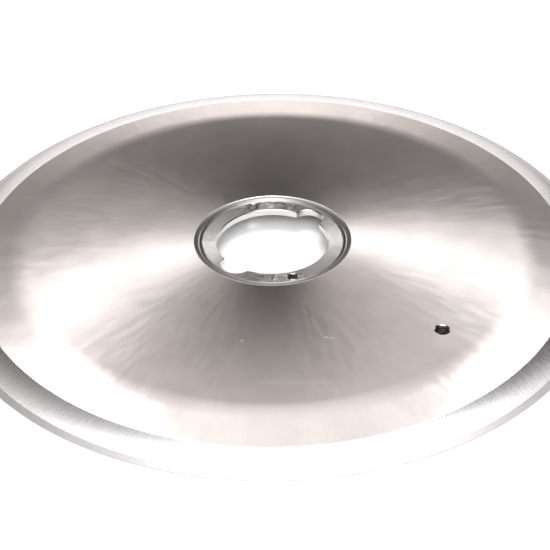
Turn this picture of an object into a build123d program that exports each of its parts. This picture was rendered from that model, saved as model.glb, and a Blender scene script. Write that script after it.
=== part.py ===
from build123d import *
from math import asin, cos, degrees, radians, sin, sqrt, tan
import os

os.makedirs("parts", exist_ok=True)

# Food slicer blade: one steel disc, turned, ground and honed, hub raised, lying on its rim.
# Millimetres, +Z up. The origin is the centre of the circle that the rim rests on.

# Rim, from the cutting edge inwards
outer_diameter = 330.0
edge_blunt = 0.25  # height left standing at the very edge
honed_width = 3.2
honed_angle = 20.0
bevel_width = 12.5
bevel_angle = 16.8  # slope of the chord across the hollow-ground bevel
bevel_hollow = 0.35  # how far the grinding wheel went below that chord
land_width = 21.0
land_angle = 8.4

# Dish between the rim and the hub
dish_sphere_radius = 2290.0  # the dish is a shallow dome, part of a ball centred on the spindle axis
bend_radius = 45.0  # soft bend where the dish turns down into the land
disc_thickness = 4.3  # measured along Z

# Centre hole with its two round notches
bore_diameter = 56.0
bore_chamfer = 0.4
notch_radius = 7.75
notch_inset = 1.5  # how far a notch's middle lies inside the edge of the bore
notch_turn = 47.8  # angle of the first notch from +X

# Hub recess, from its floor outwards
notch_to_wall = 2.75  # floor left between a notch and the wall of the recess
floor_step = 0.4
step_fillet = 0.2
band_width = 2.6
band_angle = 13.0

# Two screw holes midway across the recess floor
screw_hole_diameter = 5.2
screw_from_notch = 60.0
screw_chamfer = 0.3

# Threaded hole for the removal tool, out in the dish
tool_hole_diameter = 6.8
tool_from_bend = 20.8  # from the bend line inwards to the middle of the hole
tool_from_notch = -90.0
tool_chamfer = 0.5

# Underside: flat ring that backs the cutting edge and carries the blade at rest
back_ring_width = 8.0
back_bend_radius = 12.0  # soft corner where the hollow begins, under the crest


def rise(run, angle):
    """Height gained over a run at a slope."""
    return run * tan(radians(angle))


def dome_drop(radius):
    """How far the dish has fallen at a radius, below the top of its ball."""
    return dish_sphere_radius - sqrt(dish_sphere_radius**2 - radius**2)


def on_circle(radius, angle, height):
    """Point on a circle about the Z axis."""
    return (radius * cos(radians(angle)), radius * sin(radians(angle)), height)


# Radii of the lines on the upper face, from the edge inwards
edge_radius = outer_diameter / 2
honed_radius = edge_radius - honed_width
crest_radius = honed_radius - bevel_width
bend_line_radius = crest_radius - land_width
tool_circle_radius = bend_line_radius - tool_from_bend

# Radii at the hub, from the bore outwards
bore_radius = bore_diameter / 2
notch_circle_radius = bore_radius - notch_inset
floor_radius = notch_circle_radius + notch_radius + notch_to_wall
hub_rim_radius = floor_radius + band_width
screw_circle_radius = (bore_radius + floor_radius) / 2

# Heights of the same lines
honed_height = edge_blunt + rise(honed_width, honed_angle)
crest_height = honed_height + rise(bevel_width, bevel_angle)
bend_line_height = crest_height + rise(land_width, land_angle)
dome_height = bend_line_height + dome_drop(bend_line_radius)
hub_rim_height = dome_height - dome_drop(hub_rim_radius)
step_height = hub_rim_height - rise(band_width, band_angle)
floor_height = step_height - floor_step

# Middle of the hollow stretch of the section
bevel_middle = (
    (honed_radius + crest_radius) / 2,
    (honed_height + crest_height) / 2 - bevel_hollow,
)

# The dish's arc, as angles at the centre of its ball
bend_line_turn = degrees(asin(bend_line_radius / dish_sphere_radius))
hub_rim_turn = degrees(asin(hub_rim_radius / dish_sphere_radius))

# The underside follows the upper face, one wall thickness below it
hub_under = (hub_rim_radius, hub_rim_height - disc_thickness)
bend_under = (bend_line_radius, bend_line_height - disc_thickness)
crest_under = (crest_radius, crest_height - disc_thickness)
bend_top = (bend_line_radius, bend_line_height)

with BuildPart() as slicer_blade:
    # Half section of the disc, revolved about the spindle axis
    with BuildSketch(Plane.XZ) as section:
        with BuildLine():
            Polyline(
                (hub_rim_radius, hub_rim_height),
                (floor_radius, step_height),
                (floor_radius, floor_height),
                (0, floor_height),
                (0, hub_under[1]),
                hub_under,
            )
            CenterArc(
                (0, dome_height - dish_sphere_radius - disc_thickness),
                dish_sphere_radius,
                90 - bend_line_turn,
                bend_line_turn - hub_rim_turn,
            )
            Polyline(
                bend_under,
                crest_under,
                (edge_radius - back_ring_width, 0),
                (edge_radius, 0),
                (edge_radius, edge_blunt),
                (honed_radius, honed_height),
            )
            ThreePointArc((honed_radius, honed_height), bevel_middle, (crest_radius, crest_height))
            Line((crest_radius, crest_height), bend_top)
            CenterArc(
                (0, dome_height - dish_sphere_radius),
                dish_sphere_radius,
                90 - bend_line_turn,
                bend_line_turn - hub_rim_turn,
            )
        make_face()
        corners = section.vertices()
        bends = [corners.sort_by_distance(point)[0] for point in (bend_top, bend_under)]
        fillet(bends, bend_radius)
        fillet(section.vertices().sort_by_distance(crest_under)[0], back_bend_radius)
        fillet(section.vertices().sort_by_distance((floor_radius, floor_height))[0], step_fillet)
    revolve(axis=Axis.Z)

    # Centre hole, widened by two round notches that face each other
    with BuildSketch() as centre_hole:
        Circle(bore_radius)
        with PolarLocations(notch_circle_radius, 2, start_angle=notch_turn):
            Circle(notch_radius)
    extrude(amount=hub_rim_height, mode=Mode.SUBTRACT)
    recess_floor = slicer_blade.faces().filter_by(Plane.XY).sort_by(Axis.Z)[-1]
    chamfer(recess_floor.inner_wires()[0].edges(), bore_chamfer)

    # Screw holes on one circle around the centre hole
    first_screw_turn = notch_turn + screw_from_notch
    with Locations(Plane.XY.offset(floor_height)):
        with PolarLocations(screw_circle_radius, 2, start_angle=first_screw_turn):
            CounterSinkHole(
                screw_hole_diameter / 2,
                screw_hole_diameter / 2 + screw_chamfer,
                counter_sink_angle=90,
            )

    # Hole for the removal tool, out in the dish
    tool_hole_top = on_circle(tool_circle_radius, notch_turn + tool_from_notch, hub_rim_height)
    with Locations(tool_hole_top):
        Hole(tool_hole_diameter / 2)
    chamfer(slicer_blade.edges().sort_by_distance(tool_hole_top)[0], tool_chamfer)

slicer_blade.part.label = "slicer_blade"
export_step(slicer_blade.part, "parts/slicer_blade.step")
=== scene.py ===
import math

import bmesh
import bpy
import numpy as np
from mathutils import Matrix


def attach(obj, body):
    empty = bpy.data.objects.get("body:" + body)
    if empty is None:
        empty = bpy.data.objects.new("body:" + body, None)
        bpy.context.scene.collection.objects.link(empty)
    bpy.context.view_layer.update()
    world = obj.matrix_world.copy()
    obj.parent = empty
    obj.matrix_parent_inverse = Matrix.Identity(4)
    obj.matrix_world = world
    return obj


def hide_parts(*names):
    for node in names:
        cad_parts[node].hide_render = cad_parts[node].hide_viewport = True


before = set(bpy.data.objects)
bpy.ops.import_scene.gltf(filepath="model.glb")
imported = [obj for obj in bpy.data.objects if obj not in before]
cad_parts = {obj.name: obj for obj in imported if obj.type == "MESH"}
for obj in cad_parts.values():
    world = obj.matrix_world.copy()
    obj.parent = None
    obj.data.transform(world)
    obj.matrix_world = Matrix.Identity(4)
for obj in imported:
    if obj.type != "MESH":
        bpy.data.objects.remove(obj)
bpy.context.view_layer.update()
mm = 0.001

# The disc's half section, in millimetres and degrees, from the cutting edge inwards
disc = {
    "edgeRadius": 165.0,
    "edgeBlunt": 0.25,
    "edgeRound": 0.06,
    "honedWidth": 3.2,
    "honedAngle": 20.0,
    "honedRound": 1.5,
    "bevelWidth": 12.5,
    "bevelAngle": 16.8,
    "bevelHollow": 0.35,
    "crestRound": 0.9,
    "landWidth": 21.0,
    "landAngle": 8.4,
    "bendRadius": 110.0,  # softer than the CAD's 45, as the ground surface shows it
    "ballRadius": 2290.0,  # the dish is part of a ball this large
    "thickness": 4.3,
    "backRing": 8.0,
    "backBend": 12.0,
}

# The hub, from the centre outwards
hub = {
    "boreRadius": 28.0,
    "boreChamfer": 0.4,
    "notchRadius": 7.75,
    "notchInset": 1.5,
    "notchTurn": 47.8,
    "notchToWall": 2.75,
    "washWidth": 2.3,  # the floor curves up a little next to its wall, clear of the notches
    "washRise": 0.075,
    "floorStep": 0.4,
    "stepFillet": 0.2,
    "stepRound": 0.1,
    "breakWidth": 0.42,  # broken edge at the top of the step, which catches the light all the way round
    "breakDrop": 0.3,
    "bandWidth": 2.6,
    "bandDrop": 0.6,  # the CAD's cone of 13 degrees, which the reflections show flatter, with a steep lip
    "bandAngle": 3.0,
    "lipWidth": 0.6,
    "lipAngle": 15.0,
    "rimRound": 0.5,
}

# The two screw holes in the recess, and the threaded hole out in the dish
holes = {
    "screwRadius": 2.6,
    "screwChamfer": 0.3,
    "screwFromNotch": 60.0,
    "toolRadius": 3.4,
    "toolChamfer": 0.5,
    "toolFromBend": 20.8,
    "toolFromNotch": -90.0,
    "threadPitch": 1.25,
    "threadDepth": 0.62,
    "threadRunOut": 0.35,
}

# How finely the surface is divided, and the windows that are left for the holes
grid = {
    "station": 1.2,  # degrees between the lines that run outwards
    "screwWindow": 6.4,  # degrees to each side of the hole
    "screwWindowDepth": 3.55,  # millimetres to each side
    "screwCells": 14,
    "toolWindow": 3.4,
    "toolWindowDepth": 6.4,
    "toolCells": 14,
    "guard": 0.12,  # a line this close to each crease keeps the shading crisp
    "mergeWithin": 0.001,
    "sharpFrom": 24.0,  # degrees between two faces
}


def lift(run, angle):
    # height gained over a run: the run times the tangent of the slope
    return run * math.tan(math.radians(angle))


def onCircle(radius, angle):
    return radius * np.array([math.cos(math.radians(angle)), math.sin(math.radians(angle))])


def domeDrop(radius):
    # how far a ball has fallen below its top: its radius, less the square root of ball² - radius²
    return disc["ballRadius"] - np.sqrt(disc["ballRadius"] ** 2 - np.square(radius))


# Radii and heights of the section's lines
honedLine = disc["edgeRadius"] - disc["honedWidth"]
crestLine = honedLine - disc["bevelWidth"]
bendLine = crestLine - disc["landWidth"]
honedHeight = disc["edgeBlunt"] + lift(disc["honedWidth"], disc["honedAngle"])
crestHeight = honedHeight + lift(disc["bevelWidth"], disc["bevelAngle"])
bendHeight = crestHeight + lift(disc["landWidth"], disc["landAngle"])
domeTop = bendHeight + domeDrop(bendLine)
notchCircle = hub["boreRadius"] - hub["notchInset"]
floorWall = notchCircle + hub["notchRadius"] + hub["notchToWall"]
rimLine = floorWall + hub["bandWidth"]
rimHeight = domeTop - domeDrop(rimLine)
lipLine = rimLine - hub["lipWidth"]
lipHeight = rimHeight - lift(hub["lipWidth"], hub["lipAngle"])
stepHeight = lipHeight - lift(lipLine - floorWall, hub["bandAngle"])
floorHeight = rimHeight - hub["bandDrop"] - hub["floorStep"]
hubUnder = rimHeight - disc["thickness"]
screwCircle = (hub["boreRadius"] + floorWall) / 2
screwTurns = [hub["notchTurn"] + holes["screwFromNotch"] + half for half in (0.0, 180.0)]
toolCircle = bendLine - holes["toolFromBend"]
toolTurn = hub["notchTurn"] + holes["toolFromNotch"]


def topFace(radius):
    return domeTop - domeDrop(radius)


def underFace(radius):
    return topFace(radius) - disc["thickness"]


def hubUnderFace(radius):
    return np.full_like(radius, hubUnder)


def floorFace(radius):
    # flat, then a parabola up to the wall
    run = np.maximum(radius - (floorWall - hub["washWidth"]), 0) / hub["washWidth"]
    return floorHeight + hub["washRise"] * run**2


def rounded(before, corner, after, radius, steps):
    # arc that touches both lines through the corner: its centre lies on their bisector, at a distance of
    # radius / sin(half angle)
    before, corner, after = (np.array(point, float) for point in (before, corner, after))
    back = (before - corner) / np.linalg.norm(before - corner)
    on = (after - corner) / np.linalg.norm(after - corner)
    halfAngle = math.acos(np.clip(back @ on, -1, 1)) / 2
    centre = corner + (back + on) / np.linalg.norm(back + on) * radius / math.sin(halfAngle)
    start = corner + back * radius / math.tan(halfAngle) - centre
    end = corner + on * radius / math.tan(halfAngle) - centre
    turn = math.pi - 2 * halfAngle
    share = np.linspace(0, 1, steps + 1)[:, None]
    return centre + (np.sin((1 - share) * turn) * start + np.sin(share * turn) * end) / math.sin(turn)


def seated(arc, face):
    # an arc drawn to the ball's tangent starts a few microns off the ball. That gap is closed, by an amount
    # that fades along the arc
    gap = face(arc[0, 0]) - arc[0, 1]
    return np.column_stack([arc[:, 0], arc[:, 1] + gap * np.linspace(1, 0, len(arc))])


def guarded(start, end, cells):
    # even steps from start to end, with one more line just inside each end
    guard = math.copysign(min(grid["guard"], abs(end - start) / 4), end - start)
    return np.concatenate([[start], np.linspace(start + guard, end - guard, cells + 1), [end]])


def line(start, end, cells):
    # straight stretch between two points of the section: (1 - share) of the first and share of the second
    share = guarded(0.0, float(np.hypot(*np.subtract(end, start))), cells)
    share = (share / share[-1])[:, None]
    return np.array(start) * (1 - share) + np.array(end) * share


def dome(start, end, face):
    # height of a face of the dish at radii from start to end, with the tool hole's window marked off
    inner, outer = toolCircle - grid["toolWindowDepth"], toolCircle + grid["toolWindowDepth"]
    radii = np.concatenate([
        guarded(min(start, end), inner, 26)[:-1],
        np.linspace(inner, outer, grid["toolCells"] + 1)[:-1],
        guarded(outer, max(start, end), 6),
    ])
    if end < start:
        radii = radii[::-1]
    return np.column_stack([radii, face(radii)])


def bevelPoints(start, end, cells):
    # chord of the bevel, less a parabola that is deepest halfway across it
    radii = guarded(start, end, cells)
    chord = honedHeight + (honedLine - radii) * math.tan(math.radians(disc["bevelAngle"]))
    across = 2 * (radii - crestLine) / disc["bevelWidth"] - 1
    return np.column_stack([radii, chord - disc["bevelHollow"] * (1 - across**2)])


def discSection():
    # every stretch of the half section with its finish, from the recess floor out over the rim and back
    # under to the hub. The last number of an arc or line is its count of cells
    sink = disc["thickness"]
    hollowSlope = 4 * disc["bevelHollow"] / disc["bevelWidth"]  # of the parabola, at each of its ends
    chordSlope = math.tan(math.radians(disc["bevelAngle"]))
    domeSlope = bendLine / disc["ballRadius"]
    rim, lip, step = (rimLine, rimHeight), (lipLine, lipHeight), (floorWall, stepHeight)
    breakOut = (floorWall + hub["breakWidth"], stepHeight + lift(hub["breakWidth"], hub["bandAngle"]))
    breakIn = (floorWall, stepHeight - hub["breakDrop"])
    bend, crest, honed = (bendLine, bendHeight), (crestLine, crestHeight), (honedLine, honedHeight)
    edge, foot = (disc["edgeRadius"], disc["edgeBlunt"]), (disc["edgeRadius"], 0.0)
    ringEnd = (disc["edgeRadius"] - disc["backRing"], 0.0)
    crestUnder, bendUnder = (crestLine, crestHeight - sink), (bendLine, bendHeight - sink)

    # Arcs that join the stretches. A point one millimetre away gives the slope where a curve meets an arc
    fillet = hub["stepFillet"]
    turn = np.linspace(0, math.pi / 2, 5)
    filletArc = np.column_stack([
        floorWall - fillet + fillet * np.sin(turn),
        floorFace(floorWall - fillet) + fillet - fillet * np.cos(turn),
    ])
    wallArc = rounded(filletArc[-1], breakIn, breakOut, hub["stepRound"], 3)
    stepArc = rounded(breakIn, breakOut, lip, hub["stepRound"], 3)
    lipArc = rounded(step, lip, rim, hub["rimRound"], 3)
    onDish = (rimLine + 1, rimHeight - rimLine / disc["ballRadius"])
    rimArc = rounded(lip, rim, onDish, hub["rimRound"], 5)
    onDome, underDome = ((bendLine - 1, height + domeSlope) for height in (bendHeight, bendUnder[1]))
    bendArc = seated(rounded(onDome, bend, crest, disc["bendRadius"], 12), topFace)
    onBevel = (crestLine + 1, crestHeight - chordSlope - hollowSlope)
    crestArc = rounded(bend, crest, onBevel, disc["crestRound"], 6)
    offBevel = (honedLine - 1, honedHeight + chordSlope - hollowSlope)
    honedArc = rounded(offBevel, honed, edge, disc["honedRound"], 5)
    edgeArc = rounded(honed, edge, foot, disc["edgeRound"], 4)
    footArc = rounded(edge, foot, ringEnd, disc["edgeRound"], 4)
    backArc = rounded(ringEnd, crestUnder, bendUnder, disc["backBend"], 8)
    underArc = rounded(underDome, bendUnder, crestUnder, disc["bendRadius"], 8)
    underArc = seated(underArc, underFace)[::-1]

    return [
        ("turned", filletArc),
        ("turned", line(filletArc[-1], wallArc[0], 1)),
        ("turned", wallArc),
        ("turned", line(wallArc[-1], stepArc[0], 2)),
        ("turned", stepArc),
        ("turned", line(stepArc[-1], lipArc[0], 5)),
        ("turned", lipArc),
        ("turned", line(lipArc[-1], rimArc[0], 1)),
        ("dish", rimArc),
        ("dish", dome(rimArc[-1][0], bendArc[0][0], topFace)),
        ("dish", bendArc),
        ("dish", line(bendArc[-1], crestArc[0], 9)),
        ("dish", crestArc),
        ("bevel", bevelPoints(crestArc[-1][0], honedArc[0][0], 16)),
        ("bevel", honedArc),
        ("honed", line(honedArc[-1], edgeArc[0], 4)),
        ("honed", edgeArc),
        ("honed", line(edgeArc[-1], footArc[0], 1)),
        ("honed", footArc),
        ("back", line(footArc[-1], ringEnd, 4)),
        ("under", line(ringEnd, backArc[0], 3)),
        ("under", backArc),
        ("under", line(backArc[-1], underArc[0], 6)),
        ("under", underArc),
        ("under", dome(underArc[-1][0], rimLine, underFace)),
    ]


def cuspTurn(offset):
    # where the bore's circle and a notch's circle cross, by the cosine rule: its angle seen from the middle
    # of the bore, and seen from the middle of the notch
    bore, notch = hub["boreRadius"] + offset, hub["notchRadius"] + offset
    fromBore = math.acos((notchCircle**2 + bore**2 - notch**2) / (2 * notchCircle * bore))
    fromNotch = math.atan2(bore * math.sin(fromBore), bore * math.cos(fromBore) - notchCircle)
    return fromBore, fromNotch


def stationTurns():
    # the angles of the lines that run outwards: even steps between the cusps of the notches and the holes'
    # windows
    cusp = math.degrees(cuspTurn(0.0)[0])
    marks = [(hub["notchTurn"] + half + side * cusp, None) for half in (0, 180) for side in (-1, 1)]
    for turn in screwTurns:
        marks += [(turn - grid["screwWindow"], grid["screwCells"]), (turn + grid["screwWindow"], None)]
    marks += [(toolTurn - grid["toolWindow"], grid["toolCells"]), (toolTurn + grid["toolWindow"], None)]
    marks = sorted((turn % 360, cells) for turn, cells in marks)
    turns = []
    for (start, cells), (end, _) in zip(marks, marks[1:] + [(marks[0][0] + 360, None)]):
        cells = cells or max(1, round((end - start) / grid["station"]))
        turns.append(np.linspace(start, end, cells, endpoint=False))
    return np.radians(np.concatenate(turns))


def stationAt(turns, angle):
    # the station nearest an angle, with the gap taken the short way round
    gaps = (turns - math.radians(angle) + math.pi) % (2 * math.pi) - math.pi
    return int(np.argmin(np.abs(gaps)))


def boreOutline(turns, offset):
    # one point of the bore's outline for each station: along a notch's arc between its cusps, and elsewhere
    # on the circle
    local = (turns - math.radians(hub["notchTurn"]) + math.pi / 2) % math.pi - math.pi / 2
    towards = turns - local
    plainCusp = cuspTurn(0.0)[0]
    cusp, arc = cuspTurn(offset)
    bore, notch = hub["boreRadius"] + offset, hub["notchRadius"] + offset
    beyond = np.clip((np.abs(local) - plainCusp) / (math.pi / 2 - plainCusp), 0, 1)
    onBore = np.sign(local) * (cusp + beyond * (math.pi / 2 - cusp))
    onNotch = np.clip(local / plainCusp, -1, 1) * arc
    inNotch = np.abs(local) <= plainCusp + 1e-9
    along = np.where(inNotch, notchCircle + notch * np.cos(onNotch), bore * np.cos(onBore))
    aside = np.where(inNotch, notch * np.sin(onNotch), bore * np.sin(onBore))
    return np.column_stack([
        along * np.cos(towards) - aside * np.sin(towards),
        along * np.sin(towards) + aside * np.cos(towards),
    ])


class Surface:
    # gathers sheets of four-sided faces, with the finish of each face
    def __init__(self):
        self.points, self.faces, self.finishes, self.count = [], [], [], 0

    def add(self, sheet, finish, windows=()):
        # sheet is rows by columns by xyz, and its last column joins its first. A window is left open, given
        # by its first and last row, then its first and last column
        rows, columns = sheet.shape[:2]
        index = self.count + np.arange(rows * columns).reshape(rows, columns)
        index = np.concatenate([index, index[:, :1]], axis=1)
        quads = np.stack([index[:-1, :-1], index[:-1, 1:], index[1:, 1:], index[1:, :-1]], -1)
        kept = np.ones(quads.shape[:2], bool)
        for top, bottom, left, right in windows:
            kept[top:bottom, left:right] = False
        self.points.append(sheet.reshape(-1, 3))
        self.faces.append(quads[kept])
        self.finishes += [finish] * int(kept.sum())
        self.count += rows * columns


def around(sheet, top, bottom, left, right):
    # the points round a window's rim, in order
    return np.concatenate([
        sheet[top, left:right],
        sheet[top:bottom, right],
        sheet[bottom, right:left:-1],
        sheet[bottom:top:-1, left],
    ])


def collar(rim, centre, radius, face, steps):
    # sheet from a window's rim in to a circle, along straight lines that point at the hole's middle. Its
    # height is the face's own at each point
    aim = np.arctan2(rim[:, 1] - centre[1], rim[:, 0] - centre[0])
    circle = np.column_stack([centre[0] + radius * np.cos(aim), centre[1] + radius * np.sin(aim)])
    share = np.sqrt(np.linspace(0, 1, steps + 1))[:, None, None]
    flat = rim[None, :, :2] * (1 - share) + circle[None] * share
    return np.dstack([flat, face(np.hypot(flat[..., 0], flat[..., 1]))]), aim


def tube(aim, centre, radii, heights):
    # rings about a hole's own axis: middle plus radius times cosine and sine of the aim, at each height
    aim, radii, heights = np.broadcast_arrays(aim, radii, heights)
    return np.dstack([
        centre[0] + radii * np.cos(aim),
        centre[1] + radii * np.sin(aim),
        heights,
    ])


def hubRings(turns, offset, outer, face, cells):
    # sheet from the bore's outline to a circle, in straight lines, with rings that line up with the screw
    # holes' windows
    inner = boreOutline(turns, offset)
    outside = outer * np.column_stack([np.cos(turns), np.sin(turns)])
    start = hub["boreRadius"] + offset
    low, high = (
        (screwCircle + side * grid["screwWindowDepth"] - start) / (outer - start) for side in (-1, 1)
    )
    share = np.concatenate([
        [0],
        np.linspace(low, high, grid["screwCells"] + 1),
        np.linspace(high, 1, cells + 1)[1:],
    ])[:, None, None]
    flat = inner[None] * (1 - share) + outside[None] * share
    return np.dstack([flat, face(np.hypot(flat[..., 0], flat[..., 1]))])


def threadDepth(heights, aim):
    # helical groove: the phase is height over pitch less the turn, and its section is a flat, a slope, a flat
    # and a slope, a quarter of a pitch each. It runs out at both ends
    phase = (heights / holes["threadPitch"] - aim / (2 * math.pi)) % 1.0
    wave = np.clip(1.5 - np.abs(phase - 0.5) * 4, 0, 1)
    top, bottom = heights[:1], heights[-1:]
    fade = np.clip(np.minimum(top - heights, heights - bottom) / holes["threadRunOut"], 0, 1)
    return holes["threadDepth"] * wave * fade


def addProfile(surface, turns):
    # the half section carried round the axis, one stretch at a time: radius times cosine and sine of the
    # turn. The rim of the tool hole's window comes back, which is the same from above for both faces
    column = stationAt(turns, toolTurn - grid["toolWindow"])
    toolRims = []
    for finish, section in discSection():
        radii = section[:, 0]
        sheet = np.dstack([
            section[:, :1] * np.cos(turns),
            section[:, :1] * np.sin(turns),
            np.repeat(section[:, 1:], len(turns), axis=1),
        ])
        if not radii.min() < toolCircle < radii.max():
            surface.add(sheet, finish)
            continue
        ends = (toolCircle - grid["toolWindowDepth"], toolCircle + grid["toolWindowDepth"])
        rows = sorted(int(np.argmin(np.abs(radii - end))) for end in ends)
        window = (*rows, column, column + grid["toolCells"])
        surface.add(sheet, finish, windows=[window])
        toolRims.append(around(sheet, *window))
    return toolRims[0]


def addToolHole(surface, rim):
    # a collar in the dish, a small chamfer, the threaded wall, and a collar underneath
    centre = onCircle(toolCircle, toolTurn)
    bore, mouth = holes["toolRadius"], holes["toolRadius"] + holes["toolChamfer"]
    top, aim = collar(rim, centre, mouth, topFace, 6)
    under, _ = collar(rim, centre, bore, underFace, 6)
    surface.add(top, "dish")
    surface.add(under, "under")
    throat = top[-1, :, 2] - holes["toolChamfer"]
    chamferHeights = np.linspace(top[-1, :, 2], throat, 3)
    surface.add(tube(aim, centre, np.linspace(mouth, bore, 3)[:, None], chamferHeights), "wall")
    heights = np.linspace(throat, under[-1, :, 2], 64)
    # the thread's colour carries painted shade for the inside of the hole
    surface.add(tube(aim, centre, bore + threadDepth(heights, aim), heights), "thread")


def addBore(surface, turns):
    # the bore's outline at each height: wider by the chamfer at the top, and straight below it
    chamfer = hub["boreChamfer"]
    throat = floorHeight - chamfer
    levels = [(chamfer, floorHeight), (chamfer / 2, floorHeight - chamfer / 2)]
    levels += [(0.0, height) for height in np.linspace(throat, hubUnder, 5)]
    outlines = np.array([boreOutline(turns, out) for out, height in levels])
    heights = np.array([np.full((len(turns), 1), height) for out, height in levels])
    surface.add(np.concatenate([outlines, heights], axis=2), "wall")


def addScrewHole(surface, turn, floorRim, underRim):
    # a collar in the floor, a small chamfer, a plain wall, and a collar underneath. The wall's stations
    # swing from the upper collar's aim to the lower one's
    centre = onCircle(screwCircle, turn)
    bore, mouth = holes["screwRadius"], holes["screwRadius"] + holes["screwChamfer"]
    upper, aim = collar(floorRim, centre, mouth, floorFace, 4)
    lower, aimUnder = collar(underRim, centre, bore, hubUnderFace, 3)
    surface.add(upper, "floor")
    surface.add(lower, "under")
    throat = floorHeight - holes["screwChamfer"]
    chamferHeights = np.linspace(upper[-1, :, 2], throat, 3)
    surface.add(tube(aim, centre, np.linspace(mouth, bore, 3)[:, None], chamferHeights), "wall")
    share = np.linspace(0, 1, 5)[:, None]
    swing = (aimUnder - aim + math.pi) % (2 * math.pi) - math.pi
    # the drilled walls' colour carries painted shade for the inside of the holes
    surface.add(tube(aim + swing * share, centre, bore, throat + (hubUnder - throat) * share), "drilled")


def buildDisc():
    surface = Surface()
    turns = stationTurns()
    addToolHole(surface, addProfile(surface, turns))
    floor = hubRings(turns, hub["boreChamfer"], floorWall - hub["stepFillet"], floorFace, 2)
    under = hubRings(turns, 0.0, rimLine, hubUnderFace, 3)
    cells = grid["screwCells"]
    columns = [stationAt(turns, turn - grid["screwWindow"]) for turn in screwTurns]
    windows = [(1, 1 + cells, column, column + cells) for column in columns]
    surface.add(floor, "floor", windows)
    surface.add(under, "under", windows)
    addBore(surface, turns)
    for turn, window in zip(screwTurns, windows):
        addScrewHole(surface, turn, around(floor, *window), around(under, *window))
    return surface


def toMesh(surface, name, finishes):
    # the sheets become one closed mesh: equal points are merged, and faces turned outwards
    mesh = bpy.data.meshes.new(name)
    faces = np.concatenate(surface.faces)
    points = np.concatenate(surface.points) * mm
    mesh.vertices.add(len(points))
    mesh.vertices.foreach_set("co", points.astype(np.float32).ravel())
    mesh.loops.add(faces.size)
    mesh.loops.foreach_set("vertex_index", faces.ravel().astype(np.int32))
    mesh.polygons.add(len(faces))
    mesh.polygons.foreach_set("loop_start", np.arange(0, faces.size, 4, dtype=np.int32))
    slots = list(finishes)
    used = np.array([slots.index(finish) for finish in surface.finishes], np.int32)
    mesh.polygons.foreach_set("material_index", used)
    for material in finishes.values():
        mesh.materials.append(material)
    mesh.update(calc_edges=True)
    editing = bmesh.new()
    editing.from_mesh(mesh)
    bmesh.ops.remove_doubles(editing, verts=editing.verts, dist=grid["mergeWithin"] * mm)
    bmesh.ops.recalc_face_normals(editing, faces=editing.faces)
    editing.to_mesh(mesh)
    openEdges = sum(len(edge.link_faces) != 2 for edge in editing.edges)
    editing.free()
    mesh.polygons.foreach_set("use_smooth", np.ones(len(mesh.polygons), bool))
    mesh.set_sharp_from_angle(angle=math.radians(grid["sharpFrom"]))
    mesh.validate()
    triangles = sum(len(polygon.vertices) - 2 for polygon in mesh.polygons)
    print("disc surface:", triangles, "triangles,", openEdges, "edges that are not shared by two faces")
    return mesh


def fromHex(code):
    # sRGB hex to linear: each part over 12.92 when dark, else ((part + 0.055) / 1.055) to the power 2.4
    parts = np.array([int(code[at : at + 2], 16) / 255 for at in (1, 3, 5)])
    linear = np.where(parts <= 0.04045, parts / 12.92, ((parts + 0.055) / 1.055) ** 2.4)
    return (*linear.tolist(), 1.0)


def addNode(tree, kind, inputs=(), out=0, **settings):
    # one node with its settings. Its inputs, by name or in order, are values or the sockets they link from,
    # and one of its outputs comes back
    node = tree.nodes.new("ShaderNode" + kind)
    for name, value in settings.items():
        setattr(node, name, value)
    for key, value in inputs.items() if isinstance(inputs, dict) else enumerate(inputs):
        if isinstance(value, bpy.types.NodeSocket):
            tree.links.new(value, node.inputs[key])
        else:
            node.inputs[key].default_value = value
    return node.outputs[out] if node.outputs else None


def newMaterial(name):
    material = bpy.data.materials.new(name)
    material.use_nodes = True
    material.node_tree.nodes.clear()
    return material, material.node_tree


# Marks of grinding and turning, in millimetres. The real ones are about 0.05 wide, too fine to show here,
# so they are drawn 0.4 to 1.4 wide
markSizes = {
    "turnRadius": 100.0,  # a mark has its own width at this radius, and is finer nearer the hub
    "slantRadius": 155.0,
    "detail": 3.0,
    "roughness": 0.55,
    "low": 0.3,  # the noise lies mostly between these two
    "high": 0.7,
    "cloudWidth": 24.0,  # soft clouds where the grinding belt pressed harder
    "cloud": 0.02,
}

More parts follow.
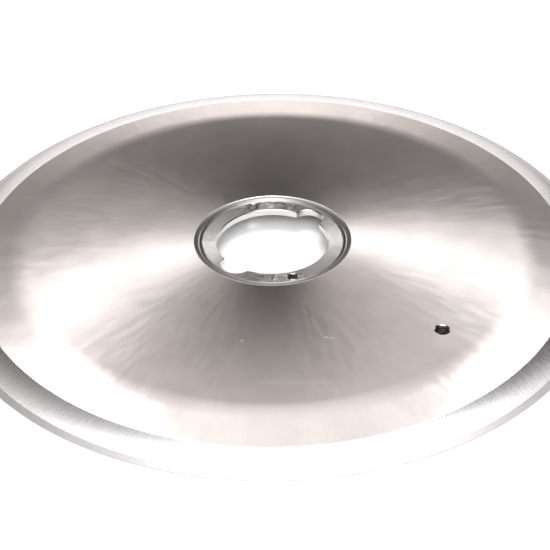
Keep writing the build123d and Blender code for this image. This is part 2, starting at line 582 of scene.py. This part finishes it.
# Finishes of the blade's stainless steel. A mark spreads a reflection across itself, so where the marks run
# outwards from the hub a lamp becomes a pair of bright fans, and where they run round it, a thin spoke.
# Widths and lengths of marks are in millimetres, turns and slants in degrees
finishSizes = {
    # ground outwards with a belt: a silky face, bright in two fans and dark between them
    "dish": {
        "name": "stainless_steel_ground_outwards",
        "colour": "#eee7e5",
        "roughness": 0.28,
        "anisotropy": 0.945,
        "marks": "outwards",
        "width": 0.8,
        "length": 10.0,
        "tone": 0.02,
        "shine": 0.02,
        "cloud": 0.06,
        "wander": 0.34,  # how far the marks turn away from straight, in patches
        "patchWidth": 3.0,
        "patchLength": 12.0,
        # scratches: middle, turn, length, width and strength
        "nicks": [
            ((25.4, -78.9), -14.0, 4.0, 0.7, 0.7),
            ((27.6, -79.3), 20.0, 2.2, 0.8, 0.7),
            ((-13.9, -80.8), 10.0, 2.2, 0.8, 0.5),
            ((12.0, -110.1), 0.0, 40.0, 1.5, 0.12),
        ],
    },
    # hollow-ground on a wheel: slanted lines that show, and a ring of light that breaks off at each side
    "bevel": {
        "name": "stainless_steel_hollow_ground",
        "colour": "#e5e3e5",
        "roughness": 0.277,
        "anisotropy": 0.73,
        "marks": "outwards",
        "slant": 14.0,
        "width": 0.4,
        "length": 6.0,
        "tone": 0.05,
        "shine": 0.05,
    },
    # honed on a stone: a soft satin band with no clear reflection
    "honed": {
        "name": "stainless_steel_honed",
        "colour": "#dad7d6",
        "roughness": 0.45,
        "anisotropy": 0.4,
        "marks": "outwards",
        "slant": -30.0,
        "width": 0.5,
        "length": 3.0,
        "tone": 0.06,
        "shine": 0.05,
    },
    # faced, then rubbed outwards: light grey with short strokes. Next to its wall it carries the facing
    # marks, and there its colour is darkened in a ring of painted shade, where the step's foot is in shadow
    "floor": {
        "name": "stainless_steel_recess_floor",
        "colour": "#e6e5e5",
        "roughness": 0.29,
        "anisotropy": 0.90,
        "marks": "outwards",
        "width": 0.6,
        "length": 5.0,
        "tone": 0.13,
        "shine": 0.04,
        "crossed": {
            "width": 2.2,
            "length": 0.6,
            "from": 35.0,
            "full": 36.5,
            "least": 0.44,
            "most": 0.85,
            # painted shade at the floor's wall: the share of the colour that is left there
            "paintedWallShade": 0.72,
        },
    },
    # turned on a lathe: a dark ring with thin bright lines at its edges
    "turned": {
        "name": "stainless_steel_turned",
        "colour": "#d9d8d8",
        "roughness": 0.266,
        "anisotropy": 0.55,
        "marks": "round",
        "width": 0.5,
        "length": 40.0,
        "tone": 0.04,
        "shine": 0.03,
    },
    # milled wall of the bore: even, and paler than the other steel as a painted highlight, so that the
    # chamfers' glints and the bore's far wall show bright
    "wall": {
        "name": "stainless_steel_milled_wall_painted_highlight",
        # painted highlight: paler than the steel's own colour, for the glints on the chamfers and the bright
        # bore wall
        "colour": "#f7f5f3",
        "roughness": 0.24,
        "anisotropy": 0.4,
        "marks": "round",
        "width": 0.7,
        "length": 20.0,
        "tone": 0.03,
        "shine": 0.02,
    },
    # drilled wall of the screw holes: duller, and darker in colour as painted shade, the shade inside the
    # holes
    "drilled": {
        "name": "stainless_steel_drilled_painted_shade",
        # painted shade: darker than the steel's own colour, for the shade inside the screw holes
        "colour": "#a8a29d",
        "roughness": 0.34,
        "anisotropy": 0.0,
        "marks": "round",
        "width": 0.6,
        "length": 20.0,
        "tone": 0.05,
        "shine": 0.02,
    },
    # tapped thread: darker in colour as painted shade, the shade inside the hole, with a little light on its
    # crests
    "thread": {
        "name": "stainless_steel_tapped_painted_shade",
        # painted shade: darker than the steel's own colour, for the shade inside the threaded hole
        "colour": "#8d857d",
        "roughness": 0.38,
        "anisotropy": 0.0,
        "marks": "round",
        "width": 0.6,
        "length": 20.0,
        "tone": 0.05,
        "shine": 0.02,
    },
    # lapped flat back of the edge: bright, with fine rings
    "back": {
        "name": "stainless_steel_lapped_back",
        "colour": "#e6e3e1",
        "roughness": 0.28,
        "anisotropy": 0.8,
        "marks": "round",
        "width": 1.0,
        "length": 60.0,
        "tone": 0.04,
        "shine": 0.02,
    },
    # turned underside: rings that show, as on a record
    "under": {
        "name": "stainless_steel_turned_underside",
        "colour": "#e0dcda",
        "roughness": 0.32,
        "anisotropy": 0.9,
        "marks": "round",
        "width": 1.4,
        "length": 80.0,
        "tone": 0.06,
        "shine": 0.03,
    },
}


def steel(size):
    material, tree = newMaterial(size["name"])
    place = addNode(tree, "TexCoord", out="Object")
    flat = addNode(tree, "VectorMath", [place, (1, 1, 0)], operation="MULTIPLY")
    radius = addNode(tree, "VectorMath", [flat], out="Value", operation="LENGTH")
    outward = addNode(tree, "VectorMath", [flat], operation="NORMALIZE")
    across = addNode(tree, "VectorMath", [(0, 0, 1), flat], operation="CROSS_PRODUCT")
    roundWay = addNode(tree, "VectorMath", [across], operation="NORMALIZE")
    noiseEnds = (markSizes["low"], markSizes["high"])

    def marks(wide, long, ahead=0.0):
        # noise on a cylinder: the turn is stretched by the width of a mark, and the radius by its length.
        # Ahead moves one set of marks away from another
        turned = {0: outward, "Scale": markSizes["turnRadius"] / wide}
        turned = addNode(tree, "VectorMath", turned, operation="SCALE")
        if "slant" in size:
            lean = math.tan(math.radians(size["slant"])) / (markSizes["slantRadius"] * mm)
            lean = addNode(tree, "Math", [radius, lean], operation="MULTIPLY")
            turned = {"Vector": turned, "Angle": lean}
            turned = addNode(tree, "VectorRotate", turned, rotation_type="Z_AXIS")
        climb = addNode(tree, "Math", [radius, 1 / (long * mm), ahead], operation="MULTIPLY_ADD")
        climb = addNode(tree, "CombineXYZ", {"Z": climb})
        spot = addNode(tree, "VectorMath", [turned, climb], operation="ADD")
        detail, roughness = markSizes["detail"], markSizes["roughness"]
        noise = {"Vector": spot, "Scale": 1.0, "Detail": detail, "Roughness": roughness}
        return addNode(tree, "TexNoise", noise, out="Fac")

    if size["marks"] == "round":
        grain = marks(size["length"], size["width"])
        tangent = outward
    else:
        grain = marks(size["width"], size["length"])
        tangent = roundWay
    paintedWallShade = 1.0
    if "crossed" in size:
        # about a third of the floor carries marks that cross the rest, and nearly all of the ring does
        ring = size["crossed"]
        ends = (ring["from"] * mm, ring["full"] * mm)
        share = addNode(tree, "MapRange", [radius, *ends, ring["least"], ring["most"]])
        crossing = marks(ring["width"], ring["length"], 7.0)
        crossing = addNode(tree, "Math", [crossing, share], operation="LESS_THAN")
        tangent = addNode(tree, "Mix", {0: crossing, 4: roundWay, 5: outward}, out=1, data_type="VECTOR")
        # painted shade: the colour darkens outwards over the ring, where the step's foot is in shadow
        paintedWallShade = addNode(tree, "MapRange", [radius, *ends, 1.0, ring["paintedWallShade"]])
    if "wander" in size:
        patches = marks(size["patchWidth"], size["patchLength"], 3.0)
        lean = [patches, size["wander"], -size["wander"] / 2]
        lean = addNode(tree, "Math", lean, operation="MULTIPLY_ADD")
        lean = addNode(tree, "VectorMath", {0: outward, "Scale": lean}, operation="SCALE")
        tangent = addNode(tree, "VectorMath", [roundWay, lean], operation="ADD")
        tangent = addNode(tree, "VectorMath", [tangent], operation="NORMALIZE")

    # Tone: the marks, the clouds and the ring of painted shade at the floor's wall, multiplied
    tone, shine, depth = size["tone"], size["shine"], size.get("cloud", markSizes["cloud"])
    clouds = {"Vector": place, "Scale": 1 / (markSizes["cloudWidth"] * mm), "Detail": 2.0, "Roughness": 0.5}
    clouds = addNode(tree, "TexNoise", clouds, out="Fac")
    clouds = addNode(tree, "MapRange", [clouds, *noiseEnds, 1 - depth, 1 + depth])
    tone = addNode(tree, "MapRange", [grain, *noiseEnds, 1 - tone, 1 + tone])
    for part in (clouds, paintedWallShade):
        tone = addNode(tree, "Math", [tone, part], operation="MULTIPLY")
    mixed = {0: 1.0, 6: fromHex(size["colour"]), 7: tone}
    colour = addNode(tree, "Mix", mixed, out=2, data_type="RGBA", blend_type="MULTIPLY")

    metallic = 1.0
    for middle, turn, length, width, strength in size.get("nicks", ()):
        # a bright burr, full out to half of its length and width and gone at their ends
        gap = (middle[0] * mm, middle[1] * mm, 0)
        gap = addNode(tree, "VectorMath", [place, gap], operation="SUBTRACT")
        reach = 0.0
        for aim, extent in ((turn, length), (turn + 90, width)):
            way = (*onCircle(1.0, aim), 0)
            part = addNode(tree, "VectorMath", [gap, way], out="Value", operation="DOT_PRODUCT")
            part = addNode(tree, "Math", [part], operation="ABSOLUTE")
            part = addNode(tree, "Math", [part, extent / 2 * mm], operation="DIVIDE")
            reach = addNode(tree, "Math", [part, reach], operation="MAXIMUM")
        burr = addNode(tree, "MapRange", [reach, 0.5, 1.0, strength, 0.0])
        colour = addNode(tree, "Mix", {0: burr, 6: colour, 7: fromHex("#ececec")}, out=2, data_type="RGBA")
        metallic = addNode(tree, "Math", [metallic, burr], operation="SUBTRACT")

    rough = [size["roughness"] * (1 - shine), size["roughness"] * (1 + shine)]
    shader = addNode(tree, "BsdfPrincipled", {
        "Base Color": colour,
        "Metallic": metallic,
        "Roughness": addNode(tree, "MapRange", [grain, *noiseEnds, *rough]),
        "Anisotropic": size["anisotropy"],
        "Tangent": tangent,
    })
    addNode(tree, "OutputMaterial", {"Surface": shader})
    return material


finishes = {key: steel(size) for key, size in finishSizes.items()}
print("finishes made:", len(finishes))

blade = bpy.data.objects.new("blade_disc", toMesh(buildDisc(), "blade_disc", finishes))
bpy.context.scene.collection.objects.link(blade)
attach(blade, "root")
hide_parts("slicer_blade")


# White table that keeps the blade's shadow, in millimetres
table = {
    "half": 3000.0,
    "below": 0.05,
    "colour": "#fcfcfc",
    "seenGlow": 0.21,
    "mirroredGlow": 0.3,
    "openFrom": 145.0,  # from the middle: the glow starts past the blade
    "openFull": 170.0,
    "boreFull": 30.0,  # and the camera sees it in the bore as well, not under the disc
    "boreEnd": 42.0,
}


def buildTable():
    # white card, with a glow that only the camera and the steel's reflections see, away from the shadow
    mesh = bpy.data.meshes.new("table")
    half, level = table["half"] * mm, -table["below"] * mm
    corners = [(-half, -half, level), (half, -half, level), (half, half, level), (-half, half, level)]
    mesh.from_pydata(corners, [], [(0, 1, 2, 3)])
    material, tree = newMaterial("white_card")
    card = addNode(tree, "BsdfDiffuse", {"Color": fromHex(table["colour"])})
    place = addNode(tree, "TexCoord", out="Object")
    radius = addNode(tree, "VectorMath", [place], out="Value", operation="LENGTH")
    past = addNode(tree, "MapRange", [radius, table["openFrom"] * mm, table["openFull"] * mm, 0.0, 1.0])
    inBore = addNode(tree, "MapRange", [radius, table["boreFull"] * mm, table["boreEnd"] * mm, 1.0, 0.0])
    seen = addNode(tree, "Math", [past, inBore], operation="ADD")
    strength = 0.0
    for ray, where, glow in (("Is Camera Ray", seen, "seenGlow"), ("Is Glossy Ray", past, "mirroredGlow")):
        share = addNode(tree, "Math", [where, table[glow]], operation="MULTIPLY")
        share = [addNode(tree, "LightPath", out=ray), share, strength]
        strength = addNode(tree, "Math", share, operation="MULTIPLY_ADD")
    light = addNode(tree, "Emission", {"Strength": strength})
    addNode(tree, "OutputMaterial", {"Surface": addNode(tree, "AddShader", [card, light])})
    mesh.materials.append(material)
    floor = bpy.data.objects.new("table", mesh)
    bpy.context.scene.collection.objects.link(floor)


buildTable()

# The studio. A slope is across or away over up, as on a flat ceiling, and the other angles are in degrees
studio = {
    "lampLight": "#ffffff",
    "roomLight": "#fffaf7",
    # round soft box overhead, to the right of the blade and behind it
    "lamp": {"slope": (0.099, 0.295), "reach": (0.364, 0.21), "full": 0.27, "strength": 8.9},
    # light that the ceiling scatters round it
    "glow": {"slope": (0.068, 0.124), "reach": (0.92, 0.61), "full": 0.0, "strength": 1.03},
    # strip light that runs from the camera's side to the back
    "strip": {"slope": (0.028, 0.244), "reach": (0.223, 0.807), "full": 0.0, "strength": 2.5},
    # broad soft box over the camera
    "front": {"slope": (0.0, -1.03), "reach": (1.14, 1.14), "full": 0.0, "strength": 3.06},
    "leastUp": 0.05,  # keeps a slope finite near the horizon
    "sweepFull": 14.6,  # white sweep round the blade, above the table
    "sweepEnd": 23.7,
    "sweepBefore": 1.03,
    "sweepBeside": 0.144,
    "sweepBehind": 1.14,
    "sweepTurn": 0.9,  # how far towards the front or back it reaches its full strength
    "wallFrom": 37.5,  # bright wall behind the blade, above a dark gap
    "wallFull": 54.5,
    "wallMiddle": -7.5,  # round from straight behind
    "wallAside": 70.0,  # to each side of that, where it has faded
    "wallStrength": 1.5,
    "roomStrength": 0.017,
}


def buildStudio():
    world = bpy.data.worlds.new("studio")
    bpy.context.scene.world = world
    world.use_nodes = True
    tree = world.node_tree
    tree.nodes.clear()
    smooth = {"interpolation_type": "SMOOTHSTEP"}
    way = addNode(tree, "TexCoord", out="Generated")
    across, away, up = (addNode(tree, "SeparateXYZ", [way], out=axis) for axis in ("X", "Y", "Z"))
    height = addNode(tree, "Math", [up, studio["leastUp"]], operation="MAXIMUM")
    slopes = [addNode(tree, "Math", [part, height], operation="DIVIDE") for part in (across, away)]
    slope = addNode(tree, "CombineXYZ", slopes)

    def patch(size):
        # oval patch of the ceiling: even out to a share of its reach, then faded to nothing at its reach
        gap = addNode(tree, "VectorMath", [slope, (*size["slope"], 0)], operation="SUBTRACT")
        gap = addNode(tree, "VectorMath", [gap, (*size["reach"], 1)], operation="DIVIDE")
        share = addNode(tree, "VectorMath", [gap], out="Value", operation="LENGTH")
        return addNode(tree, "MapRange", [share, size["full"], 1.0, size["strength"], 0.0], **smooth)

    # Lamps on the ceiling, added up
    lamp, glow, strip, front = (patch(studio[name]) for name in ("lamp", "glow", "strip", "front"))
    ceiling = addNode(tree, "Math", [glow, strip], operation="ADD")
    lamps = ceiling
    for part in (lamp, front):
        lamps = addNode(tree, "Math", [lamps, part], operation="ADD")

    # White sweep: one strength to the sides, more towards the front and the back, faded out above
    beside, turn = studio["sweepBeside"], studio["sweepTurn"]
    behind = addNode(tree, "MapRange", [away, 0.0, turn, 0.0, studio["sweepBehind"] - beside], **smooth)
    before = addNode(tree, "MapRange", [away, -turn, 0.0, studio["sweepBefore"] - beside, 0.0], **smooth)
    sweep = beside
    for part in (behind, before):
        sweep = addNode(tree, "Math", [part, sweep], operation="ADD")
    heights = ("sweepFull", "sweepEnd", "wallFrom", "wallFull")
    sines = {name: math.sin(math.radians(studio[name])) for name in heights}
    fade = addNode(tree, "MapRange", [up, sines["sweepFull"], sines["sweepEnd"], 1.0, 0.0], **smooth)
    sweep = addNode(tree, "Math", [sweep, fade], operation="MULTIPLY")

    # Wall behind the blade: brighter upwards, faded to its sides, and only where no lamp covers it
    aside = addNode(tree, "Math", [across, away], operation="ARCTAN2")
    aside = addNode(tree, "Math", [aside, math.radians(studio["wallMiddle"])], operation="SUBTRACT")
    aside = addNode(tree, "Math", [aside], operation="ABSOLUTE")
    aside = addNode(tree, "MapRange", [aside, 0.0, math.radians(studio["wallAside"]), 1.0, 0.0], **smooth)
    wall = [up, sines["wallFrom"], sines["wallFull"], 0.0, studio["wallStrength"]]
    wall = addNode(tree, "MapRange", wall, **smooth)
    wall = addNode(tree, "Math", [wall, aside], operation="MULTIPLY")
    wall = addNode(tree, "Math", [wall, ceiling], operation="SUBTRACT")
    wall = addNode(tree, "Math", [wall, 0.0], operation="MAXIMUM")

    room = studio["roomStrength"]
    for part in (sweep, wall):
        room = addNode(tree, "Math", [part, room], operation="ADD")
    room = addNode(tree, "Background", {"Color": fromHex(studio["roomLight"]), "Strength": room})
    lamps = addNode(tree, "Background", {"Color": fromHex(studio["lampLight"]), "Strength": lamps})
    light = addNode(tree, "AddShader", [room, lamps])
    backdrop = addNode(tree, "Background", {"Color": fromHex("#ffffff"), "Strength": 1.0})
    seen = addNode(tree, "LightPath", out="Is Camera Ray")
    addNode(tree, "OutputWorld", {"Surface": addNode(tree, "MixShader", [seen, light, backdrop])})


buildStudio()

# The photograph's view, in millimetres and degrees: a long lens from the near side, about 35 degrees up
view = {
    "place": (6.07, -701.76, 499.23),
    "tilt": 53.987,
    "roll": 0.54,
    "pan": 0.021,
    "lens": 111.27,
    "sensor": 36.0,
    "nearest": 50.0,
    "furthest": 20000.0,
}


def buildCamera():
    data = bpy.data.cameras.new("camera")
    data.lens, data.sensor_width = view["lens"], view["sensor"]
    data.clip_start, data.clip_end = view["nearest"] * mm, view["furthest"] * mm
    camera = bpy.data.objects.new("camera", data)
    camera.location = [side * mm for side in view["place"]]
    camera.rotation_euler = [math.radians(view[turn]) for turn in ("tilt", "roll", "pan")]
    bpy.context.scene.collection.objects.link(camera)
    bpy.context.scene.camera = camera


buildCamera()
bpy.context.scene.view_settings.view_transform = "Standard"
print("studio and camera ready")
